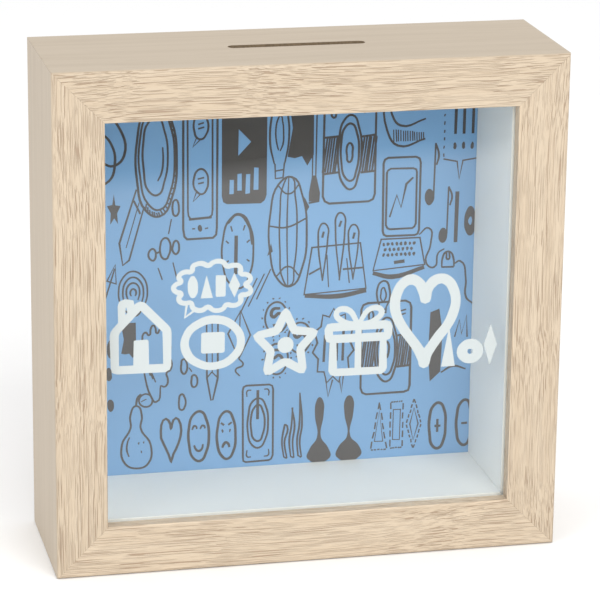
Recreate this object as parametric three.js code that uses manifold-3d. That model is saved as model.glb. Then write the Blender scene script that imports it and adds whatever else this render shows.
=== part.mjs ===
// Wooden money box: a deep mitred frame with a glass front, a coin slot in its top rail and a printed back.
// Millimetres. +X is right, +Y runs from the glass to the back and +Z is up.
// The origin is the centre of the underside, so the box stands on Z = 0.
import * as THREE from "three";
import { mergeVertices } from "three/addons/utils/BufferGeometryUtils.js";
import Module from "manifold-3d";

const wasm = await Module();
wasm.setup();

// Frame
const SIZE = 200; // outside width and height
const DEPTH = 65; // front face to rear face
const FACE_WIDTH = 20; // rail width seen from the front
const LIP_THICKNESS = 5.5; // wood in front of the glass
const WALL_THICKNESS = 15; // rail thickness behind the lip
const FRONT_RADIUS = 1.5; // rounding of the outer front edge
const SIGHT_RADIUS = 0.8; // rounding of the front edge round the window
const REAR_RADIUS = 0.8; // rounding of the outer rear edge
const MITRE_GAP = 0.1; // glue line, from each mitred end to the 45 degree plane, along the rail

// Stack in the rabbet, from the lip to the rear face
const STACK_GAP = 0.1; // between one layer and the next
const GLASS_THICKNESS = 1.2;
const SPACER_LENGTH = 48.3; // depth of the room for the coins
const CARD_THICKNESS = 1.5;
const BOARD_THICKNESS = 8;
const EDGE_CLEARANCE = 0.3; // round the glass, card and board in the rabbet
const SPACER_CLEARANCE = 0.2; // between a spacer and the rabbet wall
const SPACER_THICKNESS = 5.5;

// Coin slot
const SLOT_LENGTH = 54;
const SLOT_WIDTH = 5;
const SLOT_DEPTH = 33.5; // from the front face to the slot's centre line

// Turn buttons and their screws
const BUTTON_WIDTH = 10;
const BUTTON_REACH = 18; // pivot to tip
const BUTTON_THICKNESS = 1.2;
const SEAT_GAP = 0.1; // under a button and under a screw's head
const SCREW_RADIUS = 1.5;
const SCREW_LENGTH = 15; // under the head
const SCREW_POINT = 3; // length of the cone at the tip
const HEAD_RADIUS = 3.2;
const HEAD_HEIGHT = 2;
const HOLE_CLEARANCE = 0.3; // radial, round a screw, and all round a corner nail

// V nails: two at each corner, driven across the mitre from the rear
const NAIL_LEG = 4;
const NAIL_THICKNESS = 0.8;
const NAIL_DEPTH = 10;
const NAIL_SINK = 0.3; // below the rear face
const NAIL_INSETS = [4.2, 8.6]; // from both outer faces to the point of the V

const ARC_SEGMENTS = 3;
const ROUND_SEGMENTS = 24;
const END_SEGMENTS = 6; // round each end of a slot or a button
const HALF = SIZE / 2;
const REAR = DEPTH / 2;
const GLASS_FRONT = LIP_THICKNESS + STACK_GAP;
const SPACER_FRONT = GLASS_FRONT + GLASS_THICKNESS + STACK_GAP;
const CARD_FRONT = SPACER_FRONT + SPACER_LENGTH + STACK_GAP;
const BOARD_FRONT = CARD_FRONT + CARD_THICKNESS + STACK_GAP;

const material = (color, roughness, metalness = 0) =>
  new THREE.MeshStandardMaterial({ color, roughness, metalness });
const materials = {
  oak: material(0xe2cfb5, 0.55),
  lining: material(0xc8d3d9, 0.6),
  glass: new THREE.MeshStandardMaterial({
    color: 0xeaf4f2,
    roughness: 0.05,
    transparent: true,
    opacity: 0.2,
  }),
  card: material(0x86aed6, 0.7),
  fibreboard: material(0xa98a64, 0.8),
  steel: material(0xb9bcc0, 0.35, 1),
};

// The work is laid out with the middle of the frame at X = Z = 0. A bottom rail, a bottom spacer and a bottom
// left corner are made there, and the others are turned copies of them.
const SIDES = [
  ["bottom", 0],
  ["left", Math.PI / 2],
  ["top", Math.PI],
  ["right", -Math.PI / 2],
];
const CORNERS = [
  ["bottom_left", 0],
  ["top_left", Math.PI / 2],
  ["top_right", Math.PI],
  ["bottom_right", -Math.PI / 2],
];

const frame = new THREE.Group();
frame.position.z = HALF;

function add(name, geometry, finish, turn = 0) {
  const mesh = new THREE.Mesh(geometry, finish);
  mesh.name = name;
  mesh.rotation.y = turn;
  frame.add(mesh);
}

// Booleans

function solid(geometry) {
  const bare = geometry.clone();
  bare.deleteAttribute("normal");
  bare.deleteAttribute("uv");
  const merged = mergeVertices(bare, 1e-4);
  return new wasm.Manifold(
    new wasm.Mesh({
      numProp: 3,
      vertProperties: new Float32Array(merged.attributes.position.array),
      triVerts: new Uint32Array(merged.index.array),
    }),
  );
}

function cut(geometry, ...tools) {
  let body = solid(geometry);
  for (const tool of tools) body = body.subtract(solid(tool));
  const mesh = body.getMesh();
  const result = new THREE.BufferGeometry();
  result.setAttribute("position", new THREE.BufferAttribute(mesh.vertProperties, 3));
  result.setIndex(new THREE.BufferAttribute(mesh.triVerts, 1));
  return result;
}

// Mitred strips: rails and spacers

// A profile holds (distance behind the front face, distance in from the outer face). It is extruded along X
// for the bottom of the frame, and each end is sheared to the 45 degree plane where |X| = |Z|.
function mitredStrip(profile) {
  const strip = new THREE.ExtrudeGeometry(profile, {
    depth: SIZE,
    bevelEnabled: false,
    curveSegments: ARC_SEGMENTS,
  });
  strip.translate(-REAR, -HALF, -HALF);
  const alongY = new THREE.Vector3(0, 1, 0);
  const alongZ = new THREE.Vector3(0, 0, 1);
  const alongX = new THREE.Vector3(1, 0, 0);
  strip.applyMatrix4(new THREE.Matrix4().makeBasis(alongY, alongZ, alongX));
  const points = strip.attributes.position;
  for (let i = 0; i < points.count; i++) {
    points.setX(i, Math.sign(points.getX(i)) * (-points.getZ(i) - MITRE_GAP));
  }
  return strip;
}

function railProfile() {
  const shape = new THREE.Shape();
  const quarter = Math.PI / 2;
  shape.moveTo(FRONT_RADIUS, 0);
  shape.absarc(DEPTH - REAR_RADIUS, REAR_RADIUS, REAR_RADIUS, -quarter, 0);
  shape.lineTo(DEPTH, WALL_THICKNESS);
  shape.lineTo(LIP_THICKNESS, WALL_THICKNESS);
  shape.lineTo(LIP_THICKNESS, FACE_WIDTH);
  shape.absarc(SIGHT_RADIUS, FACE_WIDTH - SIGHT_RADIUS, SIGHT_RADIUS, quarter, 2 * quarter);
  shape.absarc(FRONT_RADIUS, FRONT_RADIUS, FRONT_RADIUS, 2 * quarter, 3 * quarter);
  return shape;
}

function spacerProfile() {
  const outer = WALL_THICKNESS + SPACER_CLEARANCE;
  const shape = new THREE.Shape();
  shape.moveTo(SPACER_FRONT, outer);
  shape.lineTo(SPACER_FRONT + SPACER_LENGTH, outer);
  shape.lineTo(SPACER_FRONT + SPACER_LENGTH, outer + SPACER_THICKNESS);
  shape.lineTo(SPACER_FRONT, outer + SPACER_THICKNESS);
  return shape;
}

// The cutter for the coin slot, a flat bar with round edges that runs through the rail and the spacer.
function slotCutter() {
  const round = SLOT_WIDTH / 2;
  const straight = SLOT_LENGTH / 2 - round;
  const middle = SLOT_DEPTH - REAR;
  const shape = new THREE.Shape();
  shape.absarc(straight, middle, round, -Math.PI / 2, Math.PI / 2);
  shape.absarc(-straight, middle, round, Math.PI / 2, (3 * Math.PI) / 2);
  const length = 2 * FACE_WIDTH;
  const bar = new THREE.ExtrudeGeometry(shape, {
    depth: length,
    bevelEnabled: false,
    curveSegments: END_SEGMENTS,
  });
  return bar.translate(0, 0, -HALF - FACE_WIDTH / 2);
}

// V nails

function nailOutline(clearance) {
  const side = NAIL_THICKNESS / 2 + clearance;
  const end = NAIL_LEG + clearance;
  const corners = [
    [-side, -side],
    [end, -side],
    [end, side],
    [side, side],
    [side, end],
    [-side, end],
  ];
  return new THREE.Shape(corners.map(([x, y]) => new THREE.Vector2(x, y)));
}

// One V for the bottom left corner: its point on the mitre, a leg in each rail, `top` below the rear face.
function nail(inset, clearance, top, depth) {
  const v = new THREE.ExtrudeGeometry(nailOutline(clearance), { depth, bevelEnabled: false });
  v.rotateX(Math.PI / 2);
  return v.translate(inset - HALF, REAR - top, inset - HALF);
}

const nailPockets = NAIL_INSETS.map((inset) =>
  nail(inset, HOLE_CLEARANCE, -NAIL_SINK, NAIL_DEPTH + 2 * NAIL_SINK + HOLE_CLEARANCE),
);

// Turn buttons and screws

const PIVOT_Z = WALL_THICKNESS / 2 - HALF; // the middle of the bottom rail's rear face
const BUTTON_SEAT = REAR + SEAT_GAP;
const HEAD_SEAT = BUTTON_SEAT + BUTTON_THICKNESS + SEAT_GAP;

// A flat bar with round ends, parked along its rail, with the hole for the screw at one end.
function turnButton() {
  const round = BUTTON_WIDTH / 2;
  const shape = new THREE.Shape();
  shape.absarc(BUTTON_REACH - round, 0, round, -Math.PI / 2, Math.PI / 2);
  shape.absarc(0, 0, round, Math.PI / 2, (3 * Math.PI) / 2);
  const hole = new THREE.Path();
  hole.absarc(0, 0, SCREW_RADIUS + HOLE_CLEARANCE, 0, 2 * Math.PI, true);
  shape.holes.push(hole);
  const plate = new THREE.ExtrudeGeometry(shape, {
    depth: BUTTON_THICKNESS,
    bevelEnabled: false,
    curveSegments: END_SEGMENTS,
  });
  plate.rotateX(-Math.PI / 2);
  return plate.translate(0, BUTTON_SEAT, PIVOT_Z);
}

// A pan head wood screw, turned about its own axis from the point to the crown of the head. The head swells
// quickly at its rim, as the square root of the sine, so that it is flatter on top than a ball.
function screw() {
  const profile = [
    [0, -SCREW_LENGTH],
    [SCREW_RADIUS, SCREW_POINT - SCREW_LENGTH],
    [SCREW_RADIUS, 0],
    [HEAD_RADIUS, 0],
  ];
  for (let step = 1; step <= ARC_SEGMENTS; step++) {
    const angle = (step / ARC_SEGMENTS) * (Math.PI / 2);
    profile.push([HEAD_RADIUS * Math.cos(angle), HEAD_HEIGHT * Math.sqrt(Math.sin(angle))]);
  }
  profile[profile.length - 1][0] = 0;
  const points = profile.map(([radius, height]) => new THREE.Vector2(radius, height));
  return new THREE.LatheGeometry(points, ROUND_SEGMENTS).translate(0, HEAD_SEAT, PIVOT_Z);
}

function screwHole() {
  const depth = SCREW_LENGTH + HOLE_CLEARANCE;
  const radius = SCREW_RADIUS + HOLE_CLEARANCE;
  const drill = new THREE.CylinderGeometry(radius, radius, depth, ROUND_SEGMENTS);
  return drill.translate(0, HEAD_SEAT - depth / 2, PIVOT_Z);
}

// Panels that drop into the rabbet from the rear

function panel(front, thickness) {
  const side = SIZE - 2 * (WALL_THICKNESS + EDGE_CLEARANCE);
  return new THREE.BoxGeometry(side, thickness, side).translate(0, front - REAR + thickness / 2, 0);
}

// Assembly

const nextCorner = nailPockets.map((pocket) => pocket.clone().rotateY(-Math.PI / 2));
const rail = cut(mitredStrip(railProfile()), screwHole(), ...nailPockets, ...nextCorner);
const slottedRail = cut(rail, slotCutter());
const spacer = mitredStrip(spacerProfile());
const slottedSpacer = cut(spacer, slotCutter());

for (const [side, turn] of SIDES) {
  const isTop = side === "top";
  add(`${side}_rail`, isTop ? slottedRail : rail, materials.oak, turn);
  add(`spacer_${side}`, isTop ? slottedSpacer : spacer, materials.lining, turn);
  add(`turn_button_${side}`, turnButton(), materials.steel, turn);
  add(`turn_button_screw_${side}`, screw(), materials.steel, turn);
}
for (const [corner, turn] of CORNERS) {
  NAIL_INSETS.forEach((inset, i) => {
    add(`v_nail_${corner}_${i + 1}`, nail(inset, 0, NAIL_SINK, NAIL_DEPTH), materials.steel, turn);
  });
}
add("glass_pane", panel(GLASS_FRONT, GLASS_THICKNESS), materials.glass);
add("printed_card", panel(CARD_FRONT, CARD_THICKNESS), materials.card);
add("back_board", panel(BOARD_FRONT, BOARD_THICKNESS), materials.fibreboard);

const moneyBox = new THREE.Group();
moneyBox.name = "money_box";
moneyBox.add(frame);
export default moneyBox;
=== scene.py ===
"""Wooden money box: a deep oak-look frame with a printed glass front, a pale lined space for the coins, a
printed card and a fibreboard back held by turn buttons. Metres, in the frame of the CAD model."""

from math import cos, pi, radians, sin
from random import Random

import bpy
from mathutils import Matrix, Vector


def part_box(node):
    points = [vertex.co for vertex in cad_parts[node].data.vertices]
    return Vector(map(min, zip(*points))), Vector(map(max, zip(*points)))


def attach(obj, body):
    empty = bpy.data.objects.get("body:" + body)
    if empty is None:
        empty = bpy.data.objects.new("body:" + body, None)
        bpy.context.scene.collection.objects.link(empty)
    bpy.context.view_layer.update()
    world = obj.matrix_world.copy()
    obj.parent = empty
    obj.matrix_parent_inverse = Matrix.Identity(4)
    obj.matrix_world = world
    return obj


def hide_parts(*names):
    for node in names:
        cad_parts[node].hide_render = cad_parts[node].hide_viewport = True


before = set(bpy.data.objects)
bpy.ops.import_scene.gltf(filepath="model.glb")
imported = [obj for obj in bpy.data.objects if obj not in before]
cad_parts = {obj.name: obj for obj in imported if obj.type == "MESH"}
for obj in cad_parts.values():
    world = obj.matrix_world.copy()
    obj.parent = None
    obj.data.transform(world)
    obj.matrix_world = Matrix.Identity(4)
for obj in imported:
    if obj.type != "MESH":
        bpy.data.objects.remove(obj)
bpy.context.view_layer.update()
scene = bpy.context.scene


# ---- Camera ----
# Stands in front of the box, to its left and above it, with a long lens, so that the front, the top and the
# left side show.

CAMERA_PLACE = Vector((-0.2533, -1.1203, 0.4488))
CAMERA_AIM = Vector((0.21266, 0.93235, -0.29241))
CAMERA_ROLL = 0.66  # degrees
SENSOR = 36.0
LENS = 183.0

bpy.ops.object.camera_add(location=CAMERA_PLACE)
camera = bpy.context.object
camera.name = "camera"
camera.rotation_euler = (
    CAMERA_AIM.to_track_quat("-Z", "Y").to_matrix().to_4x4() @ Matrix.Rotation(radians(CAMERA_ROLL), 4, "Z")
).to_euler()
camera.data.sensor_width = SENSOR
camera.data.lens = LENS
scene.camera = camera


# ---- Light and floor ----
# A white table in an evenly lit white room, with a large soft lamp above the camera and one to its left. A
# dark screen at the table's edge shows only as a reflection, in the upper part of the glass.

FLOOR_SIDE = 8.0
FLOOR_DROP = 0.0002
TABLE_EDGE = (0.128, -0.601)
ROOM_STRENGTH = 0.90
LAMP_AIM = Vector((0, 0, 0.1))
LAMPS = {
    # name: (place, size, power in watts)
    "lamp_front": ((0.35, -1.9, 1.5), 1.4, 28.0),
    "lamp_left": ((-1.6, -1.2, 1.2), 1.2, 9.5),
}

scene.view_settings.view_transform = "Standard"
world = bpy.data.worlds.new("room")
world.use_nodes = True
room_light = world.node_tree.nodes["Background"]
room_light.inputs["Color"].default_value = (1.0, 1.0, 1.0, 1.0)
room_light.inputs["Strength"].default_value = ROOM_STRENGTH
scene.world = world

for name, (place, size, power) in LAMPS.items():
    bpy.ops.object.light_add(type="AREA", location=place)
    lamp = bpy.context.object
    lamp.name = name
    lamp.data.size = size
    lamp.data.energy = power
    lamp.rotation_euler = (LAMP_AIM - Vector(place)).to_track_quat("-Z", "Y").to_euler()


def new_material(name, empty=False):
    """A material and its node tree, which starts with a Principled shader, or with nothing if it is empty."""
    material = bpy.data.materials.new(name)
    material.use_nodes = True
    if empty:
        material.node_tree.nodes.clear()
    return material, material.node_tree


def feed(tree, sockets, values):
    """Gives each named or numbered socket its value, or links it to the output that is given as its value."""
    for key, value in values.items():
        if hasattr(value, "is_linked"):
            tree.links.new(value, sockets[key])
        else:
            sockets[key].default_value = value


def add_node(tree, kind, values=None, **settings):
    """A new shader node with its settings and inputs."""
    made = tree.nodes.new(f"ShaderNode{kind}")
    for key, value in settings.items():
        setattr(made, key, value)
    feed(tree, made.inputs, values or {})
    return made


def settle():
    """Puts the selected piece's place, turn and size into its mesh."""
    bpy.ops.object.transform_apply(location=True, rotation=True, scale=True)


bpy.ops.mesh.primitive_plane_add(size=FLOOR_SIDE, location=(0, 0, -FLOOR_DROP))
floor = bpy.context.object
floor.name = "floor"
table_top, tree = new_material("table_top")
feed(tree, tree.nodes["Principled BSDF"].inputs, {"Base Color": (0.97, 0.97, 0.97, 1), "Roughness": 0.7})
floor.data.materials.append(table_top)

SCREEN_HEIGHT = 1.2
SCREEN_WIDTH = 4.0
SCREEN_FADE = 0.014  # the height over which its lower edge fades in
SCREEN_TURN = -10.9  # degrees, almost square to the camera's line of sight

bpy.ops.mesh.primitive_plane_add(
    size=1, location=(*TABLE_EDGE, SCREEN_HEIGHT / 2), rotation=(pi / 2, 0, radians(SCREEN_TURN))
)
screen = bpy.context.object
screen.name = "dark_screen"
screen.scale = (SCREEN_WIDTH, SCREEN_HEIGHT, 1.0)
settle()
dark, tree = new_material("dark_screen", empty=True)
height = add_node(tree, "SeparateXYZ", {0: add_node(tree, "TexCoord").outputs["Object"]})
fade = add_node(tree, "MapRange", {"Value": height.outputs["Z"], "From Max": SCREEN_FADE})
clear = add_node(tree, "BsdfTransparent")
black = add_node(tree, "Emission", {"Color": (0.0, 0.0, 0.0, 1)})
shaders = {"Fac": fade.outputs["Result"], 1: clear.outputs[0], 2: black.outputs[0]}
either = add_node(tree, "MixShader", shaders)
add_node(tree, "OutputMaterial", {"Surface": either.outputs[0]})
screen.data.materials.append(dark)
screen.visible_camera = False
screen.visible_diffuse = False
screen.visible_shadow = False
screen.visible_transmission = False


# ---- Rails ----
# Four lengths of deep fibreboard moulding wrapped in oak-look film, mitred and glued at the corners. Each has
# a lip in front of the glass and a deep rabbet behind it, and the top one has the coin slot milled through.

rail_low, rail_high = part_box("bottom_rail")
FRONT, REAR = rail_low.y, rail_high.y
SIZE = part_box("right_rail")[1].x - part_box("left_rail")[0].x
FACE = rail_high.z - rail_low.z
CENTRE = Vector((0, 0, SIZE / 2))
LIP = 0.0055
WALL = 0.015
FRONT_ROUND = 0.0015
SIGHT_ROUND = 0.0008
REAR_ROUND = 0.0008
MITRE_GAP = 0.00002
MITRE_EASE = 0.00011
SLOT_LENGTH = 0.054
SLOT_WIDTH = 0.005
SLOT_MIDDLE = FRONT + 0.0335
SIDES = {"bottom": 0.0, "left": pi / 2, "top": pi, "right": -pi / 2}
# Each rail's film is scaled by its tone; the bottom rail's lighter tone is painted light, lifting the shade
# it gets low down by the table.
RAIL_TONES_AND_PAINTED_LIGHT = {"bottom": 1.06, "left": 1.0, "top": 1.0, "right": 1.01}
SIGHT_EDGE_PAINTED_LIGHT = 0.15  # painted light: how much paler the film is made where it turns round the sight edge, to lift the shade on the lip's inner face
ROUND_SIDES = 48  # flat faces round a bar or a hole


def near(value, target, tolerance=2e-5):
    return abs(value - target) < tolerance


def only(piece):
    """Selects one piece and nothing else."""
    bpy.ops.object.select_all(action="DESELECT")
    piece.select_set(True)
    bpy.context.view_layer.objects.active = piece


def edit(piece):
    """Opens one piece for edit mode work, with nothing in it selected."""
    only(piece)
    bpy.ops.object.mode_set(mode="EDIT")
    bpy.ops.mesh.select_all(action="DESELECT")
    bpy.ops.object.mode_set(mode="OBJECT")


def pick(piece, kind, test):
    """Selects the vertices, edges or faces whose place passes the test, and goes back to edit mode."""
    if bpy.context.mode != "OBJECT":
        bpy.ops.object.mode_set(mode="OBJECT")
    mesh = piece.data
    for group in (mesh.vertices, mesh.edges, mesh.polygons):
        for item in group:
            item.select = False
    if kind == "VERT":
        for vertex in mesh.vertices:
            vertex.select = test(vertex.co)
    elif kind == "EDGE":
        for edge in mesh.edges:
            edge.select = test(*(mesh.vertices[i].co for i in edge.vertices))
    else:
        for face in mesh.polygons:
            face.select = test(face)
    bpy.ops.object.mode_set(mode="EDIT")
    bpy.ops.mesh.select_mode(type=kind)


def block(name, low, high):
    """A block between two corners, at the origin with its place in its mesh."""
    bpy.ops.object.select_all(action="DESELECT")
    low, high = Vector(low), Vector(high)
    bpy.ops.mesh.primitive_cube_add(size=1, location=(low + high) / 2)
    piece = bpy.context.object
    piece.name = name
    piece.scale = high - low
    settle()
    edit(piece)
    return piece


def take_all():
    """Goes to edit mode with the whole of the active piece selected."""
    bpy.ops.object.mode_set(mode="EDIT")
    bpy.ops.mesh.select_all(action="SELECT")


def mitre(piece):
    """Saws both ends of a bottom strip at 45 degrees, towards the middle of the frame."""
    for hand in (-1, 1):
        take_all()
        bpy.ops.mesh.bisect(
            plane_co=(hand * (SIZE / 2 - MITRE_GAP), 0, 0),
            plane_no=(hand, 0, 1),
            use_fill=True,
            clear_outer=True,
        )
    bpy.ops.object.mode_set(mode="OBJECT")


def smooth(piece, angle=40):
    """Shades rounded edges smooth, and keeps the broad faces beside them flat."""
    only(piece)
    bpy.ops.object.shade_smooth_by_angle(angle=radians(angle))
    broad = piece.modifiers.new("broad_faces", "WEIGHTED_NORMAL")
    broad.keep_sharp = True
    broad.weight = 80
    bpy.ops.object.modifier_apply(modifier=broad.name)


def ease(piece, width, segments=2, angle=50):
    """Takes the sharpness off every edge that turns more than the angle."""
    bevel = piece.modifiers.new("ease", "BEVEL")
    bevel.width = width
    bevel.segments = segments
    bevel.limit_method = "ANGLE"
    bevel.angle_limit = radians(angle)
    bpy.context.view_layer.objects.active = piece
    bpy.ops.object.modifier_apply(modifier=bevel.name)


def turned(piece, name, turn):
    """A copy with its own mesh, turned about the middle of the frame."""
    copy = piece.copy()
    copy.data = piece.data.copy()
    copy.name = name
    scene.collection.objects.link(copy)
    to_centre = Matrix.Translation(CENTRE)
    copy.matrix_world = to_centre @ Matrix.Rotation(turn, 4, "Y") @ to_centre.inverted()
    only(copy)
    settle()
    return copy


def slot_cutter():
    """A bar with half-round edges, the shape the cutter leaves in the rail and in the lining."""
    bpy.ops.object.select_all(action="DESELECT")
    bpy.ops.mesh.primitive_cylinder_add(
        vertices=ROUND_SIDES, radius=SLOT_WIDTH / 2, depth=2 * FACE, location=(0, SLOT_MIDDLE, FACE / 2)
    )
    bar = bpy.context.object
    bar.name = "slot_cutter"
    settle()
    for hand in (-1, 1):
        pick(bar, "VERT", lambda co: co.x * hand > 1e-6)
        bpy.ops.transform.translate(value=(hand * (SLOT_LENGTH - SLOT_WIDTH) / 2, 0, 0))
        bpy.ops.object.mode_set(mode="OBJECT")
    return bar


def cut_out(piece, tool, keep_tool=False):
    """Cuts the tool's shape out of a piece. The cut faces take the tool's material."""
    cut = piece.modifiers.new("cut", "BOOLEAN")
    cut.operation = "DIFFERENCE"
    cut.solver = "EXACT"
    cut.material_mode = "TRANSFER"
    cut.object = tool
    bpy.context.view_layer.objects.active = piece
    bpy.ops.object.modifier_apply(modifier=cut.name)
    if not keep_tool:
        bpy.data.objects.remove(tool)


def paint(name, colour, roughness, speckle=0.02, bump=0.00003, scale=900.0, patches=35.0):
    """Smooth paint: one colour, a little uneven, with the faint orange peel of a rolled or sprayed coat."""
    material, tree = new_material(name)
    where = add_node(tree, "TexCoord").outputs["Object"]
    cloud = add_node(tree, "TexNoise", {"Vector": where, "Scale": patches, "Detail": 3.0})
    darker, paler = ((*[part * (1 + sign * speckle) for part in colour], 1) for sign in (-1, 1))
    uneven = {"Factor": cloud.outputs["Fac"], "A": darker, "B": paler}
    tone = add_node(tree, "Mix", uneven, data_type="RGBA")
    peel = add_node(tree, "TexNoise", {"Vector": where, "Scale": scale, "Detail": 2.0})
    relief = add_node(tree, "Bump", {"Height": peel.outputs["Fac"], "Distance": bump, "Strength": 0.5})
    finish = {"Base Color": tone.outputs["Result"], "Roughness": roughness, "Normal": relief.outputs[0]}
    feed(tree, tree.nodes["Principled BSDF"].inputs, finish)
    return material


# The film's colours: the darker and paler wood of its growth bands, a painted highlight for the raised ridge
# beside a pore, and the pore.
FACE_BANDS = ((0.545, 0.438, 0.318), (0.578, 0.473, 0.350))
FACE_RIDGE_PAINTED_HIGHLIGHT = (0.672, 0.570, 0.438)
FACE_PORE = (0.325, 0.232, 0.158)
SIDE_BANDS = ((0.476, 0.396, 0.300), (0.508, 0.426, 0.328))
SIDE_LINE = (0.38, 0.30, 0.225)

# How many times each part of the grain repeats in a metre, along the rail and across it.
PORES = (42, 3300)
FINE_PORES = (110, 3600)
BANDS = (6, 230)
CLUSTERS = (20, 240)
SIDE_LINES = (22, 1500)

# The wander of the grain across the rail: repeats along and across, and how far it goes, in metres.
GROWTH_WANDER = (9.0, 7.0, 0.0028)
RIPPLE = (40.0, 45.0, 0.00022)

# How strongly each colour shows, and how deep a pore is.
PORE_SHARE = 0.85
FINE_PORE_SHARE = 0.35
RIDGE_PAINTED_HIGHLIGHT_SHARE = 0.50
SIDE_LINE_SHARE = 0.30
PORE_RELIEF = 0.00022


def oak(name, turn, seed, tone=1.0):
    """Oak-look film: short dark pores along the rail on its face, and finer, greyer grain round its sides."""
    material, tree = new_material(name)

    def math(operation, *values):
        return add_node(tree, "Math", dict(enumerate(values)), operation=operation).outputs[0]

    def ramp(value, low, high, to_low=0.0, to_high=1.0, kind="SMOOTHSTEP"):
        limits = {"Value": value, "From Min": low, "From Max": high, "To Min": to_low, "To Max": to_high}
        return add_node(tree, "MapRange", limits, interpolation_type=kind).outputs["Result"]

    def mixed(factor, a, b):
        return add_node(tree, "Mix", {"Factor": factor, "A": a, "B": b}, data_type="RGBA").outputs["Result"]

    def noise(place, repeats, detail, roughness, start):
        """Noise drawn out along the rail: its repeats in a metre, along and across, and where it starts."""
        drawn_out = {0: place, 1: (repeats[0], repeats[1], repeats[1]), 2: start}
        squeeze = add_node(tree, "VectorMath", drawn_out, operation="MULTIPLY_ADD")
        look = {"Vector": squeeze.outputs[0], "Scale": 1.0, "Detail": detail, "Roughness": roughness}
        return add_node(tree, "TexNoise", look).outputs["Fac"]

    # The rail's tone scales every colour of the film; for the bottom rail it holds painted light.
    def wood(colour):
        return (*[part * tone for part in colour], 1)

    # Places on the rail, with the rail turned back to the bottom: x along it from its middle, y behind the
    # front, and z up from the middle of the frame.
    back_to_bottom = {
        "Vector": add_node(tree, "TexCoord").outputs["Object"],
        "Location": CENTRE,
        "Rotation": (0, turn, 0),
    }
    place = add_node(tree, "Mapping", back_to_bottom, vector_type="TEXTURE").outputs[0]
    parts = add_node(tree, "SeparateXYZ", {0: place}).outputs
    sight_line = FACE - SIZE / 2
    front = ramp(parts["Y"], FRONT + 0.0012, FRONT + 0.0004)
    sight_edge = ramp(parts["Z"], sight_line - SIGHT_ROUND, sight_line - 0.0002)
    face = math("MAXIMUM", front, sight_edge)

    # The grain wanders across the rail: slowly by a few millimetres, as growth rings do, and in ripples.
    def sway(along, across, reach, shift):
        start = (seed * 11.0 + shift, seed * 2.0, seed * 3.0 - shift)
        return ramp(noise(place, (along, across), 1.0, 0.5, start), 0.2, 0.8, -reach, reach, "LINEAR")

    aside = math("ADD", sway(*GROWTH_WANDER, 0.0), sway(*RIPPLE, 5.0))
    shift = add_node(tree, "CombineXYZ", {"Y": aside, "Z": aside}).outputs[0]
    warped = add_node(tree, "VectorMath", {0: place, 1: shift}, operation="ADD").outputs[0]

    def grain(repeats, detail, roughness, shift, lift=0.0):
        start = (seed * 7.3 + shift, seed * 3.1 - shift, seed * 5.7 + lift)
        return noise(warped, repeats, detail, roughness, start)

    pores = ramp(grain(PORES, 0.5, 0.5, 0.0), 0.56, 0.62)
    ridges = ramp(grain(PORES, 0.5, 0.5, 0.0, lift=0.9), 0.54, 0.64)
    fine_pores = ramp(grain(FINE_PORES, 1.0, 0.5, 4.0), 0.54, 0.66)
    bands = ramp(grain(BANDS, 2.0, 0.5, 9.0), 0.3, 0.7)
    clusters = ramp(grain(CLUSTERS, 1.0, 0.5, 2.0), 0.30, 0.56, 0.45, 1.0)
    side_lines = ramp(grain(SIDE_LINES, 2.0, 0.6, 6.0), 0.50, 0.75)

    faint_pores = math("MULTIPLY", fine_pores, FINE_PORE_SHARE)
    pore_depth = math("MAXIMUM", math("MULTIPLY", pores, clusters), faint_pores)
    face_pores = math("MULTIPLY", pore_depth, face)
    face_ridges = math("MULTIPLY", ridges, face)
    side_pores = math("MULTIPLY", side_lines, math("SUBTRACT", 1.0, face))

    face_tone = mixed(bands, *[wood(colour) for colour in FACE_BANDS])
    # The ridges beside the pores are raised in the bump and also painted paler, as a painted highlight.
    face_with_ridge_highlight = mixed(math("MULTIPLY", ridges, RIDGE_PAINTED_HIGHLIGHT_SHARE), face_tone, wood(FACE_RIDGE_PAINTED_HIGHLIGHT))
    face_colour = mixed(math("MULTIPLY", face_pores, PORE_SHARE), face_with_ridge_highlight, wood(FACE_PORE))
    side_tone = mixed(bands, *[wood(colour) for colour in SIDE_BANDS])
    side_colour = mixed(math("MULTIPLY", side_pores, SIDE_LINE_SHARE), side_tone, wood(SIDE_LINE))
    # Painted light: the film is made paler where it turns round the sight edge, lifting the shade on the
    # lip's inner face.
    lift = math("MULTIPLY_ADD", sight_edge, SIGHT_EDGE_PAINTED_LIGHT, 1.0)
    with_painted_sight_light = {0: mixed(face, side_colour, face_colour), "Scale": lift}
    colour = add_node(tree, "VectorMath", with_painted_sight_light, operation="SCALE").outputs[0]

    hollows = math("ADD", face_pores, math("MULTIPLY", side_pores, 0.1))
    height = math("SUBTRACT", face_ridges, hollows)
    relief = add_node(tree, "Bump", {"Height": height, "Strength": 0.55, "Distance": PORE_RELIEF})
    finish = {
        "Base Color": colour,
        "Roughness": math("ADD", math("MULTIPLY", face_pores, 0.25), 0.50),
        "Specular IOR Level": 0.35,
        "Normal": relief.outputs[0],
    }
    feed(tree, tree.nodes["Principled BSDF"].inputs, finish)
    return material


def upright(place, radius, depth):
    """A round bar along Y, with its place in its mesh."""
    bpy.ops.object.select_all(action="DESELECT")
    bpy.ops.mesh.primitive_cylinder_add(
        vertices=ROUND_SIDES, radius=radius, depth=depth, location=place, rotation=(-pi / 2, 0, 0)
    )
    settle()
    return bpy.context.object


PILOT_RADIUS = 0.0015
PILOT_DEPTH = 0.030
NAIL_LEG = 0.004
NAIL_THICKNESS = 0.0008
NAIL_INSETS = (0.0042, 0.0086)
NAIL_GRIP = 0.00005


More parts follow.
